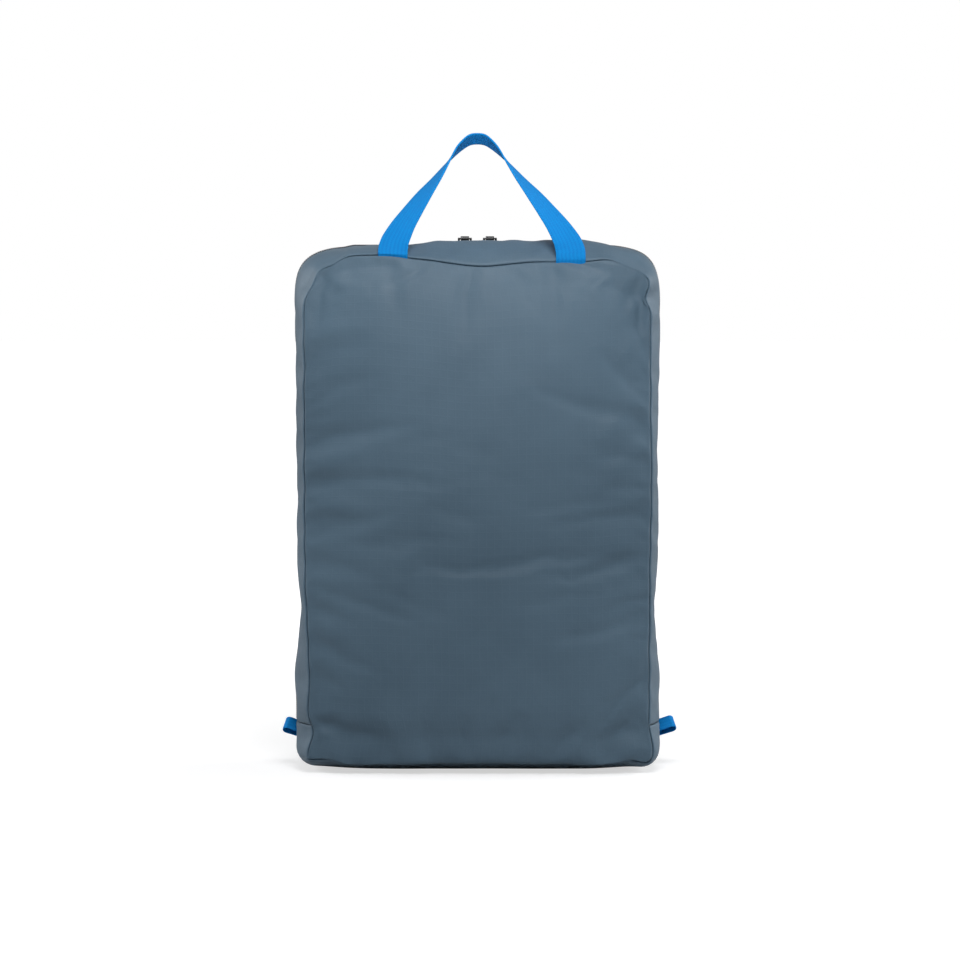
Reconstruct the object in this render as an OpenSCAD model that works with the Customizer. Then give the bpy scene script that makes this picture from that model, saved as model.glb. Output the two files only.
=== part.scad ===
// Upright packing cube: a thin woven bag with two domed panels, a gusset all round,
// a zip over its top and sides, a webbing carry handle and a tape loop at each zip end.
// It stands on its base. +Z is up, the front faces -Y, and the origin is under its middle.

/* [Body] */
// Width between the left and right seams of a panel
seam_w = 235; // [196:1:282]
// Height from the surface it stands on to the crest of the top gusset
body_h = 359; // [299:1:430]
// Depth between the front and back seams
seam_d = 80; // [66:1:110]
// Radius of the panels' upper corners
corner_top = 34; // [25:1:50]
// Radius of the panels' lower corners
corner_low = 5; // [4:0.5:7]
// How far each panel bows out past its seam
panel_bulge = 14; // [6:1:20]
// How far the gusset bows out past the seams
gusset_bulge = 7; // [5.5:0.1:10]
// Width of the level stretch along the gusset's crest
gusset_flat = 28; // [24:1:34]
// Modelled thickness of one layer of cloth
cloth_t = 0.9; // [0.6:0.1:1.2]
// Height of the zip's two ends, where the front folds open
fold_h = 33; // [30:1:45]
// Space left between the folding front and the base
fold_gap = 0.3; // [0.2:0.1:0.6]

/* [Zip] */
// Width between the gusset's two folded edges, where the zip shows
zip_window = 13; // [11:0.5:16]
// Thickness of the zip's woven tape
tape_t = 0.6; // [0.4:0.1:0.8]
// Width of one coil
coil_w = 2.4; // [2:0.1:2.8]
// Height of a coil above its tape
coil_h = 1.7; // [1.4:0.1:2.7]
// Space between the two coils, which the sliders' bridges run along
coil_slot = 1.6; // [1.4:0.1:2]

/* [Sliders] */
// Length of a slider along the zip
slider_l = 10.4; // [9:0.2:13]
// Distance from the bag's middle to each slider's middle when the zip is shut
slider_x = 8.6; // [7.5:0.1:12]
// Thickness of a slider's two plates
plate_t = 1.1; // [0.9:0.1:1.6]
// Thickness of the bridge that joins the two plates
bridge_t = 1; // [0.8:0.1:1.2]
// Clearance between a slider and the tapes
tape_clear = 0.3; // [0.25:0.05:0.5]
// Clearance over the coils, enough for the front one to swing out
coil_clear = 0.8; // [0.7:0.1:1.2]
// Diameter of the bail's bar
bail_d = 1.3; // [1.2:0.1:2]
// Height of the bail's opening above the upper plate
bail_open = 1.5; // [1.5:0.1:3]

/* [Pulls] */
// Length of a pull from the bail to its tip
pull_l = 26; // [20:1:30]
// Width of a pull
pull_w = 5.6; // [5:0.1:6]
// Thickness of a pull
pull_t = 1.4; // [1.2:0.1:1.6]
// Wall around a pull's eye
eye_wall = 0.7; // [0.6:0.1:0.8]
// Clearance between the bail and the eye
eye_clear = 0.3; // [0.25:0.05:0.4]
// Angle below level at which a pull lies on the gusset
pull_dip = 11; // [8:1:11]

/* [Handle] */
// Width of the webbing
web_w = 20; // [15:1:25]
// Thickness of the webbing
web_t = 1.2; // [1:0.1:1.6]
// Distance between the middles of the handle's two feet
handle_spread = 120; // [100:1:144]
// Length of the handle's arch from its feet to its top
handle_rise = 78; // [74:1:110]
// Radius of the bend above each foot
handle_foot_r = 40; // [30:1:48]
// Radius of the bend at the handle's top
handle_top_r = 12; // [8:1:20]
// Angle at which the arch leans back
handle_lean = 18; // [0:1:25]
// Depth of the webbing's ends inside the seam
web_tail = 8; // [6:1:12]
// Clearance between the webbing's feet and the seam that they turn on
foot_clear = 0.3; // [0.2:0.1:0.6]

/* [Loops] */
// Width of the loops' tape
loop_w = 10; // [8:0.5:12]
// Thickness of the loops' tape
loop_t = 1; // [0.8:0.1:1.2]
// Space inside a loop
loop_hollow = 4.4; // [4.2:0.1:6]
// How far a loop stands out from the gusset
loop_reach = 9.5; // [8:0.5:14]

/* [Seams] */
// Width of the binding along the inner seams
binding_w = 7; // [6:0.5:10]
// Thickness of the binding
binding_t = 1.2; // [0.8:0.1:1.6]
// Layer of turned cloth between a panel and its binding
allowance_t = 1.2; // [1.2:0.1:1.6]

/* [Hidden] */
$fn = 48;

seam_low = gusset_bulge;
seam_top = body_h - gusset_bulge;
seam_mid = (seam_low + seam_top) / 2;
half_w = seam_w / 2;
half_d = seam_d / 2;
flat_d = gusset_flat / 2;
inner_d = half_d - cloth_t;
flap_low = fold_h + fold_gap;
top_run = seam_w - 2 * corner_top;

// Offsets outward from the seam line at the gusset's crest
tape_top = gusset_bulge - cloth_t;
tape_low = tape_top - tape_t;
coil_top = tape_top + coil_h;

// Heights of a slider's faces when it is on the top run of the zip
lower_plate_z = seam_top + tape_low - tape_clear - plate_t;
upper_plate_z = seam_top + coil_top + coil_clear;
bail_z = upper_plate_z + plate_t + bail_open + bail_d / 2;
slider_nose_w = 2 * (coil_slot / 2 + coil_w) + 2 * 1.8;
slider_tail_w = slider_nose_w - 1;
flank_t = 0.7;

// Line that the handle's feet turn on, just outside the front seam
handle_z = seam_top + web_t / 2 + foot_clear;
handle_y = -(half_d + web_t / 2 + foot_clear);

nylon = [0.29, 0.39, 0.47];
nylon_dark = [0.2, 0.28, 0.35];
tape_black = [0.07, 0.07, 0.08];
coil_black = [0.04, 0.04, 0.05];
slider_black = [0.1, 0.1, 0.11];
web_blue = [0.13, 0.5, 0.85];

// ---- Shared shapes ----

// Outward bow of the gusset at a depth, measured from the seam line
function crest(y) =
    abs(y) <= flat_d ? gusset_bulge
    : gusset_bulge * (1 - pow((abs(y) - flat_d) / (half_d - flat_d), 2));

// Depths from the level stretch to the seam at which the gusset's section has a corner
slope_depths = [for (k = [0 : 6]) flat_d + (inner_d - flat_d) * k / 6];

function reversed(list) = [for (k = [len(list) - 1 : -1 : 0]) list[k]];

// Section of a strip of gusset through the given depths: x is outward, y is depth
module strip_section(depths) {
    outer = [for (y = depths) [crest(y), y]];
    inner = [for (y = reversed(depths)) [crest(y) - cloth_t, y]];
    polygon(concat(outer, inner));
}

module half_strip_section() {
    strip_section(concat([zip_window / 2], slope_depths));
}

module full_strip_section() {
    strip_section(concat([for (y = reversed(slope_depths)) -y], slope_depths));
}

module tape_section() {
    translate([tape_low, coil_slot / 2]) square([tape_t, flat_d - coil_slot / 2]);
}

module coil_section() {
    round_off = 0.5;
    near = coil_slot / 2;
    far = near + coil_w;
    polygon([
        [tape_top, near], [coil_top - round_off, near], [coil_top, near + round_off],
        [coil_top, far - round_off], [coil_top - round_off, far], [tape_top, far]
    ]);
}

// Turns a section so that its x points up and its length runs along -X
module along_top(length) {
    translate([length / 2, 0, 0]) rotate([0, -90, 0]) linear_extrude(length) children();
}

// Quarter turn of a section round a corner, from pointing along +X to pointing along +Z
module round_corner(radius) {
    mirror([0, 1, 0]) rotate([90, 0, 0])
        rotate_extrude(angle = 90) translate([radius, 0]) children();
}

// Sweeps a section up one side from the given height, over the top and down the other
module over_the_top(from_z) {
    translate([0, 0, seam_top]) along_top(top_run) children();
    for (side = [0, 1]) mirror([side, 0, 0]) {
        translate([half_w, 0, from_z])
            linear_extrude(seam_top - corner_top - from_z) children();
        translate([half_w - corner_top, 0, seam_top - corner_top])
            round_corner(corner_top) children();
    }
}

// Sweeps a section down one side from the fold, under the base and up the other
module under_the_base() {
    translate([0, 0, seam_low]) mirror([0, 0, 1])
        along_top(seam_w - 2 * corner_low) children();
    for (side = [0, 1]) mirror([side, 0, 0]) {
        translate([half_w, 0, seam_low + corner_low])
            linear_extrude(fold_h - seam_low - corner_low) children();
        translate([half_w - corner_low, 0, seam_low + corner_low]) mirror([0, 0, 1])
            round_corner(corner_low) children();
    }
}

// Half the panel's width at a height
function panel_half_w(z) =
    let (up = z - (seam_top - corner_top), down = seam_low + corner_low - z)
    up > 0 ? half_w - corner_top + sqrt(max(0, corner_top * corner_top - up * up))
    : down > 0 ? half_w - corner_low + sqrt(max(0, corner_low * corner_low - down * down))
    : half_w;

// Bow of a panel at a share of its width and a height
function panel_bow(across, z) =
    panel_bulge * (1 - pow(abs(across), 2.6))
    * (1 - pow(abs(z - seam_mid) / (seam_mid - seam_low), 4));

// Heights of a panel's rows of points
top_rows = [for (a = [0 : 15 : 90]) seam_top - corner_top * (1 - sin(a))];
low_rows = [for (a = [0 : 30 : 90]) seam_low + corner_low * (1 - cos(a))];
function middle_rows(from_z, to_z, count) =
    [for (k = [1 : count - 1]) from_z + (to_z - from_z) * k / count];

// A domed sheet of cloth through the given heights. facing is -1 for the front and 1 for the back.
module domed_panel(heights, facing) {
    columns = 8;
    shares = [for (k = [-columns : columns]) sin(90 * k / columns)];
    wide = len(shares);
    tall = len(heights);
    function place(across, z, inset) =
        [across * panel_half_w(z), facing * (half_d + panel_bow(across, z) - inset), z];
    outer = [for (z = heights) for (across = shares) place(across, z, 0)];
    inner = [for (z = heights) for (across = shares) place(across, z, cloth_t)];
    layer = wide * tall;
    function at(row, column) = row * wide + column;
    cells = [for (row = [0 : tall - 2]) for (column = [0 : wide - 2]) [
        at(row, column), at(row, column + 1), at(row + 1, column + 1), at(row + 1, column)]];
    rim = concat(
        [for (column = [0 : wide - 1]) at(0, column)],
        [for (row = [1 : tall - 1]) at(row, wide - 1)],
        [for (column = [wide - 2 : -1 : 0]) at(tall - 1, column)],
        [for (row = [tall - 2 : -1 : 1]) at(row, 0)]);
    outer_faces = [for (c = cells) each [[c[0], c[2], c[1]], [c[0], c[3], c[2]]]];
    inner_faces = [for (c = cells) each [
        [c[0] + layer, c[1] + layer, c[2] + layer], [c[0] + layer, c[2] + layer, c[3] + layer]]];
    rim_faces = [for (k = [0 : len(rim) - 1])
        let (a = rim[k], b = rim[(k + 1) % len(rim)])
        each [[a, b, b + layer], [a, b + layer, a + layer]]];
    faces = concat(outer_faces, inner_faces, rim_faces);
    polyhedron(concat(outer, inner), facing < 0 ? faces : [for (f = faces) reversed(f)]);
}

// Outline of a panel, drawn in by the given amount
module panel_outline(inset) {
    upper = corner_top - inset;
    lower = max(corner_low - inset, 0.5);
    side = half_w - inset;
    right = concat(
        [for (a = [0 : 15 : 90])
            [side - lower + lower * sin(a), seam_low + inset + lower * (1 - cos(a))]],
        [for (a = [0 : 10 : 90])
            [side - upper + upper * cos(a), seam_top - inset - upper * (1 - sin(a))]]);
    polygon(concat(right, [for (p = reversed(right)) [-p[0], p[1]]]));
}

// Binding along a panel's seam, inside the bag, between two heights
module seam_binding(facing, from_z, to_z) {
    near = inner_d - allowance_t - binding_t;
    mirror([0, facing > 0 ? 0 : 1, 0])
        translate([0, near + binding_t, 0]) rotate([90, 0, 0]) linear_extrude(binding_t)
            intersection() {
                difference() {
                    panel_outline(cloth_t);
                    panel_outline(cloth_t + binding_w);
                }
                translate([-half_w, from_z]) square([seam_w, to_z - from_z]);
            }
}

// ---- Back shell ----

module back_panel() {
    straight = middle_rows(seam_low + corner_low, seam_top - corner_top, 12);
    color(nylon) domed_panel(concat(low_rows, straight, top_rows), 1);
}

module back_gusset() {
    color(nylon) over_the_top(fold_h) half_strip_section();
}

module base_gusset() {
    color(nylon) under_the_base() full_strip_section();
}

module front_panel_foot() {
    straight = middle_rows(seam_low + corner_low, fold_h, 3);
    color(nylon) domed_panel(concat(low_rows, straight, [fold_h]), -1);
}

module back_seam_binding() {
    color(nylon_dark) seam_binding(1, seam_low, seam_top);
}

module foot_seam_binding() {
    color(nylon_dark) seam_binding(-1, seam_low, fold_h);
}

module zip_tape_back() {
    color(tape_black) over_the_top(fold_h) tape_section();
}

module zip_coil_back() {
    color(coil_black) over_the_top(fold_h) coil_section();
}

// Folded tape seen along its own width: two legs and a round fold
module loop_section() {
    outer_r = loop_hollow / 2 + loop_t;
    root = -loop_w;
    fold_at = loop_reach - outer_r;
    difference() {
        union() {
            translate([root, -outer_r]) square([fold_at - root, 2 * outer_r]);
            translate([fold_at, 0]) circle(outer_r);
        }
        translate([root - 1, -loop_hollow / 2]) square([fold_at - root + 1, loop_hollow]);
        translate([fold_at, 0]) circle(loop_hollow / 2);
    }
}

// The loop's tube runs back, up and inward, and its fold points outward and a little up
module tape_loop(side) {
    loop_z = fold_h - loop_w / 2 - 1.5;
    color(web_blue) mirror([side < 0 ? 1 : 0, 0, 0]) difference() {
        translate([half_w + gusset_bulge, 0, loop_z])
            rotate([0, -18, 0]) rotate([45, 0, 0]) rotate([90, 0, 0])
                linear_extrude(loop_w, center = true) loop_section();
        translate([0, -half_d, 0]) cube([half_w + gusset_bulge, seam_d, body_h]);
    }
}

module loop_left() {
    tape_loop(-1);
}

module loop_right() {
    tape_loop(1);
}

// ---- Front flap ----

module front_panel() {
    straight = middle_rows(flap_low, seam_top - corner_top, 12);
    color(nylon) domed_panel(concat([flap_low], straight, top_rows), -1);
}

module front_gusset() {
    color(nylon) over_the_top(flap_low) mirror([0, 1]) half_strip_section();
}

module front_seam_binding() {
    color(nylon_dark) seam_binding(-1, flap_low, seam_top);
}

module zip_tape_front() {
    color(tape_black) over_the_top(flap_low) mirror([0, 1]) tape_section();
}

module zip_coil_front() {
    color(coil_black) over_the_top(flap_low) mirror([0, 1]) coil_section();
}

// End of the webbing inside the bag, between the panel and the binding
module handle_end(side) {
    color(web_blue)
        translate([side * handle_spread / 2 - web_w / 2, -inner_d, seam_top - cloth_t - web_tail])
            cube([web_w, allowance_t, web_tail]);
}

module handle_end_left() {
    handle_end(-1);
}

module handle_end_right() {
    handle_end(1);
}

// ---- Handle ----

// Each leg is an arc above the foot, a straight run and an arc at the top
foot_arc_x = handle_spread / 2 - handle_foot_r;
top_arc_z = handle_rise - handle_top_r;
arc_gap = norm([foot_arc_x, top_arc_z]);
lean_in = atan(foot_arc_x / top_arc_z) + asin((handle_foot_r - handle_top_r) / arc_gap);
foot_arc_l = handle_foot_r * lean_in * PI / 180;
leg_run_l = sqrt(pow(arc_gap, 2) - pow(handle_foot_r - handle_top_r, 2));
top_arc_l = handle_top_r * (90 - lean_in) * PI / 180;
leg_l = foot_arc_l + leg_run_l + top_arc_l;

function on_arc(r, angle, across, up) = [across + r * cos(angle), up + r * sin(angle)];

// Point of the arch at a share of a leg's length from its foot, as [across, up]
function arch_point(t) =
    let (d = t * leg_l, past = d - foot_arc_l, over = past - leg_run_l)
    past < 0 ? on_arc(handle_foot_r, d / handle_foot_r * 180 / PI, foot_arc_x, 0)
    : over < 0 ? on_arc(handle_foot_r, lean_in, foot_arc_x, 0) + past * [-sin(lean_in), cos(lean_in)]
    : on_arc(handle_top_r, lean_in + over / handle_top_r * 180 / PI, 0, top_arc_z);

// Turn of the webbing about its own length: flat at the foot, edge on from here to the top
edge_on_at = 0.72;
function web_turn(t) = 90 * pow(sin(90 * min(1, t / edge_on_at)), 1.4);

// The webbing is one strip that twists a quarter turn in each leg
module handle_webbing() {
    steps = 22;
    stations = [for (k = [-steps : steps]) k / steps];
    function ring(s) =
        let (
            side = s < 0 ? -1 : 1,
            t = 1 - abs(s),
            here = arch_point(t),
            ahead = t < 1 ? arch_point(min(1, t + 0.01)) - arch_point(max(0, t - 0.01)) : [-1, 0],
            run = ahead / norm(ahead),
            turn = web_turn(t),
            flat = [run[1] * cos(turn), sin(turn), -run[0] * cos(turn)],
            face = [run[1] * sin(turn), -cos(turn), -run[0] * sin(turn)],
            middle = [here[0], 0, here[1]])
        [for (corner = [[-1, -1], [1, -1], [1, 1], [-1, 1]])
            let (p = middle + flat * corner[0] * web_w / 2 + face * corner[1] * web_t / 2)
            [side * p[0], p[1], p[2]]];
    points = [for (s = stations) each ring(s)];
    count = len(stations);
    walls = [for (k = [0 : count - 2]) for (e = [0 : 3])
        let (a = 4 * k + e, b = 4 * k + (e + 1) % 4)
        each [[a, b, b + 4], [a, b + 4, a + 4]]];
    caps = [[0, 3, 2], [0, 2, 1], each [
        [4 * count - 4, 4 * count - 3, 4 * count - 2],
        [4 * count - 4, 4 * count - 2, 4 * count - 1]]];
    color(web_blue) translate([0, handle_y, handle_z]) rotate([-handle_lean, 0, 0])
        polyhedron(points, [for (f = concat(walls, caps)) reversed(f)]);
}

// ---- Sliders and pulls ----

// Outline of a slider's plates, with its nose towards -X
module slider_outline() {
    bevel = 1.2;
    nose = -slider_l / 2;
    tail = slider_l / 2;
    right = [
        [nose, slider_nose_w / 2 - bevel], [nose + bevel, slider_nose_w / 2],
        [nose + slider_l * 0.45, slider_nose_w / 2], [tail - bevel, slider_tail_w / 2],
        [tail, slider_tail_w / 2 - bevel]];
    polygon(concat(right, [for (p = reversed(right)) [p[0], -p[1]]]));
}

// The front coil leaves this slider sideways, so only the back edge has a flank
module slider(side) {
    bridge_l = 3;
    bail_foot = bail_d * 1.1;
    foot_x = slider_l / 2 - bail_foot / 2 - 0.4;
    flank_low = seam_top + tape_top + tape_clear;
    color(slider_black) mirror([side < 0 ? 1 : 0, 0, 0]) translate([slider_x, 0, 0]) {
        translate([0, 0, lower_plate_z]) linear_extrude(plate_t) slider_outline();
        translate([0, 0, upper_plate_z]) linear_extrude(plate_t) slider_outline();
        translate([-slider_l / 2 + 0.8, -bridge_t / 2, lower_plate_z + plate_t / 2])
            cube([bridge_l, bridge_t, upper_plate_z - lower_plate_z]);
        translate([-slider_l / 2 + 1.6, slider_tail_w / 2 - flank_t, flank_low])
            cube([slider_l - 3.2, flank_t, upper_plate_z + plate_t / 2 - flank_low]);
        for (end = [-1, 1]) translate([end * foot_x - bail_foot / 2, -bail_d / 2, upper_plate_z])
            cube([bail_foot, bail_d, bail_z - upper_plate_z]);
        translate([-foot_x - bail_foot / 2, 0, bail_z]) rotate([0, 90, 0])
            cylinder(d = bail_d, h = 2 * foot_x + bail_foot);
    }
}

module slider_left() {
    slider(-1);
}

module slider_right() {
    slider(1);
}

// A flat tab with an eye round the bail's bar and a slot near its tip
module pull(side) {
    eye_r = bail_d / 2 + eye_clear;
    eye_w = slider_l - 2 * (bail_d * 1.1 + 0.4) - 1;
    slot_l = 8;
    slot_w = 2;
    color(slider_black)
        translate([side * slider_x, 0, bail_z]) rotate([-pull_dip, 0, 0]) difference() {
            union() {
                translate([-eye_w / 2, 0, 0]) rotate([0, 90, 0])
                    cylinder(r = eye_r + eye_wall, h = eye_w);
                translate([-eye_w / 2, 0, -pull_t / 2]) cube([eye_w, eye_r + eye_wall + 2, pull_t]);
                translate([-pull_w / 2, eye_r + eye_wall + 1, -pull_t / 2])
                    cube([pull_w, pull_l - eye_r - eye_wall - 1 - pull_w / 2, pull_t]);
                translate([0, pull_l - pull_w / 2, -pull_t / 2])
                    cylinder(d = pull_w, h = pull_t);
            }
            translate([-eye_w / 2 - 1, 0, 0]) rotate([0, 90, 0]) cylinder(r = eye_r, h = eye_w + 2);
            translate([-slot_w / 2, pull_l - pull_w / 2 - slot_l, -pull_t])
                cube([slot_w, slot_l, 2 * pull_t]);
        }
}

module pull_left() {
    pull(-1);
}

module pull_right() {
    pull(1);
}

back_panel();
back_gusset();
base_gusset();
front_panel_foot();
back_seam_binding();
foot_seam_binding();
zip_tape_back();
zip_coil_back();
loop_left();
loop_right();
front_panel();
front_gusset();
front_seam_binding();
zip_tape_front();
zip_coil_front();
handle_end_left();
handle_end_right();
handle_webbing();
slider_left();
slider_right();
pull_left();
pull_right();
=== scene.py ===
import math

import bmesh
import bpy
import numpy as np
from mathutils import Matrix, Vector


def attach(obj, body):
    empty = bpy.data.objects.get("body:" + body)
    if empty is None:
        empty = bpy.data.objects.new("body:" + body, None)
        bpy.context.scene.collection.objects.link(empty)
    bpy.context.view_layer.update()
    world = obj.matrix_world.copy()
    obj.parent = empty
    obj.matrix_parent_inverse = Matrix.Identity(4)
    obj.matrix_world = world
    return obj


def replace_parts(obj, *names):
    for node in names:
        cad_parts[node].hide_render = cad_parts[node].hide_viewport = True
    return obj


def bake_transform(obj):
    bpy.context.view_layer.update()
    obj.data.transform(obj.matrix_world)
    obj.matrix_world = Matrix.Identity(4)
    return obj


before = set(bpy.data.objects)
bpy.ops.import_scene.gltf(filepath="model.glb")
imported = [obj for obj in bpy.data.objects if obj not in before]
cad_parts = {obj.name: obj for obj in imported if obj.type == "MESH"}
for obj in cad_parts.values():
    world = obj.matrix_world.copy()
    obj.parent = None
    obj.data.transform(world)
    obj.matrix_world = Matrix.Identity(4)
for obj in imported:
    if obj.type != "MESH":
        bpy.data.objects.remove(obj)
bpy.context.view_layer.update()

scene = bpy.context.scene

# ---- sizes, in metres
MM = 0.001
HALF_W, HALF_D = 117.5 * MM, 40 * MM
SEAM_LOW, SEAM_TOP = 7 * MM, 352 * MM
R_TOP, R_LOW = 34 * MM, 5 * MM
CREST, FLAT = 7 * MM, 14 * MM
BOW = 14 * MM
WINDOW = 6.5 * MM
FOLD = 33.15 * MM
HANDLE_Y, HANDLE_Z = -40.9 * MM, 352.9 * MM
HANDLE_LEAN = math.radians(18)
HANDLE_RISE, HANDLE_SHIFT = 74 * MM, 3 * MM
PANEL_CLOTH, STRIP_CLOTH = 0.35 * MM, 0.3 * MM


# ---- camera, light and floor
def look(obj, target):
    obj.rotation_mode = "QUATERNION"
    obj.rotation_quaternion = (Vector(target) - obj.location).to_track_quat("-Z", "Y")


camera = bpy.data.objects.new("camera", bpy.data.cameras.new("camera"))
scene.collection.objects.link(camera)
scene.camera = camera
VIEW_EL = math.radians(3)
VIEW_AT = Vector((0.0018, -0.03, 0.1996))
camera.location = VIEW_AT + Vector((0, -math.cos(VIEW_EL), math.sin(VIEW_EL))) * 2.2
camera.data.lens = 121.4
camera.data.sensor_width = 36
camera.data.clip_start, camera.data.clip_end = 0.05, 60
look(camera, VIEW_AT)


def area_light(name, where, target, size, power, tint=(1, 1, 1), deep=None):
    data = bpy.data.lights.new(name, "AREA")
    data.energy, data.color, data.size = power, tint, size
    if deep:
        data.shape, data.size_y = "RECTANGLE", deep
    lamp = bpy.data.objects.new(name, data)
    lamp.location = where
    scene.collection.objects.link(lamp)
    look(lamp, target)
    return lamp


area_light("softbox_key", (0.1, -0.95, 1.15), (0.02, 0, 0.36), 0.6, 13, deep=0.5)
area_light("softbox_top", (0.0, 0.2, 1.7), (0, 0, 0.2), 1.2, 0.8)
area_light("softbox_left", (-1.7, 0.32, 0.8), (0, 0, 0.25), 0.9, 17)
area_light("softbox_right", (1.7, 0.36, 0.8), (0, 0, 0.25), 0.9, 21)
handle_fill = area_light("handle_fill", (0, -0.9, 0.08), (0, 0, 0.5), 0.15, 0.13)
handle_fill.data.spread = math.radians(30)
handle_fill.visible_camera = False

world = bpy.data.worlds.new("studio")
scene.world = world
world.use_nodes = True
seen = world.node_tree.nodes.new("ShaderNodeLightPath")
level = world.node_tree.nodes.new("ShaderNodeMapRange")
level.inputs["To Min"].default_value, level.inputs["To Max"].default_value = 0.13, 1.0
world.node_tree.links.new(seen.outputs["Is Camera Ray"], level.inputs["Value"])
world.node_tree.links.new(level.outputs[0], world.node_tree.nodes["Background"].inputs["Strength"])
world.node_tree.nodes["Background"].inputs["Color"].default_value = (1, 1, 1, 1)
scene.view_settings.view_transform = "Standard"


# ---- materials
class Shader:
    """Builds one material's nodes."""

    def __init__(self, name):
        self.material = bpy.data.materials.new(name)
        self.material.use_nodes = True
        self.tree = self.material.node_tree
        self.surface = self.tree.nodes["Principled BSDF"]

    def node(self, kind, **values):
        made = self.tree.nodes.new(kind)
        for key, value in values.items():
            if key in made.inputs:
                self.feed(made.inputs[key], value)
            else:
                setattr(made, key, value)
        return made

    def feed(self, socket, value):
        if isinstance(value, bpy.types.NodeSocket):
            self.tree.links.new(value, socket)
        else:
            socket.default_value = value

    def math(self, operation, a, b=0.0, c=0.0):
        made = self.tree.nodes.new("ShaderNodeMath")
        made.operation = operation
        for socket, value in zip(made.inputs, (a, b, c)):
            self.feed(socket, value)
        return made.outputs[0]

    def uv(self):
        """The flat cloth's place, and its two parts: across and along, in metres."""
        flat = self.node("ShaderNodeUVMap", uv_map="cloth").outputs[0]
        parts = self.node("ShaderNodeSeparateXYZ")
        self.feed(parts.inputs[0], flat)
        return flat, parts.outputs[0], parts.outputs[1]

    def place(self):
        return self.node("ShaderNodeTexCoord").outputs["Object"]

    def noise(self, vector, scale, detail=3.0, rough=0.5):
        made = self.node("ShaderNodeTexNoise", Scale=scale, Detail=detail, Roughness=rough)
        self.feed(made.inputs["Vector"], vector)
        return made.outputs["Fac"]

    def ramp(self, value, low, high, to_low=0.0, to_high=1.0):
        made = self.node("ShaderNodeMapRange")
        for key, number in (("Value", value), ("From Min", low), ("From Max", high),
                            ("To Min", to_low), ("To Max", to_high)):
            self.feed(made.inputs[key], number)
        return made.outputs[0]

    def mix(self, share, a, b):
        made = self.node("ShaderNodeMix", data_type="RGBA")
        for socket, value in zip((made.inputs[0], made.inputs[6], made.inputs[7]), (share, a, b)):
            self.feed(socket, value)
        return made.outputs[2]

    def wave(self, coordinate, pitch):
        """Goes smoothly between 0 and 1 once in each pitch along the coordinate."""
        turned = self.math("MULTIPLY", coordinate, 2 * math.pi / pitch)
        return self.math("MULTIPLY_ADD", self.math("SINE", turned), 0.5, 0.5)

    def bump(self, height, distance, strength=1.0, under=None):
        made = self.node("ShaderNodeBump", Strength=strength, Distance=distance)
        self.feed(made.inputs["Height"], height)
        if under is not None:
            self.feed(made.inputs["Normal"], under)
        return made.outputs[0]

    def finish(self, colour, roughness, normal=None, **fixed):
        self.feed(self.surface.inputs["Base Color"], colour)
        self.feed(self.surface.inputs["Roughness"], roughness)
        if normal is not None:
            self.feed(self.surface.inputs["Normal"], normal)
        for key, value in fixed.items():
            self.surface.inputs[key.replace("_", " ")].default_value = value
        return self.material


def linear(r, g, b):
    return tuple(((c / 255 + 0.055) / 1.055) ** 2.4 if c > 10 else c / 255 / 12.92 for c in (r, g, b)) + (1,)


def ripstop(name, base, light, dark):
    """Thin woven nylon: fine threads, a faint grid of heavier ones, and a slight uneven sheen."""
    s = Shader(name)
    flat, across, along = s.uv()
    where = s.place()
    cloud = s.noise(where, 9, 4, 0.55)
    colour = s.mix(s.ramp(cloud, 0.32, 0.68), dark, light)
    colour = s.mix(0.45, colour, base)
    mottle = s.noise(flat, 900, 2)
    colour = s.mix(s.ramp(mottle, 0.35, 0.7, 0, 0.16), colour, dark)
    grid_a = s.math("POWER", s.wave(across, 5.2 * MM), 22)
    grid_b = s.math("POWER", s.wave(along, 5.2 * MM), 22)
    grid = s.math("MAXIMUM", grid_a, grid_b)
    colour = s.mix(s.math("MULTIPLY", grid, 0.11), colour, light)
    warp, weft = s.wave(across, 0.42 * MM), s.wave(along, 0.42 * MM)
    weave = s.math("MULTIPLY", warp, weft)
    colour = s.mix(s.math("MULTIPLY", weave, 0.12), colour, dark)
    fine = s.bump(weave, 0.04 * MM, 0.5)
    ribs = s.bump(grid, 0.07 * MM, 0.45, fine)
    soft = s.bump(s.noise(where, 60, 5, 0.55), 0.9 * MM, 0.35, ribs)
    rough = s.ramp(s.noise(where, 22, 3), 0.3, 0.7, 0.5, 0.62)
    return s.finish(colour, rough, soft, Sheen_Weight=0.12, Sheen_Roughness=0.45, Specular_IOR_Level=0.35)


def woven_tape(name, base, light, pitch, rib, shine=0.5, sheen=0.2, relief=0.2, gloss=0.4):
    """Tape or webbing: rows of slanted threads with a rib between them, along the piece's length."""
    s = Shader(name)
    flat, across, along = s.uv()
    zig = s.math("PINGPONG", across, rib)
    slant = s.wave(s.math("ADD", along, s.math("MULTIPLY", zig, 0.9)), pitch)
    rows = s.wave(across, rib * 2)
    height = s.math("ADD", s.math("MULTIPLY", slant, 0.65), s.math("MULTIPLY", rows, 0.6))
    worn = s.noise(flat, 260, 4)
    colour = s.mix(s.ramp(s.math("ADD", height, worn), 0.6, 1.6), base, light)
    normal = s.bump(height, relief * MM, 0.35)
    normal = s.bump(s.noise(flat, 700, 2), 0.02 * MM, 0.15, normal)
    rough = s.ramp(worn, 0.3, 0.7, shine, shine + 0.14)
    return s.finish(colour, rough, normal, Sheen_Weight=sheen, Sheen_Roughness=0.4, Specular_IOR_Level=gloss)


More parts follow.
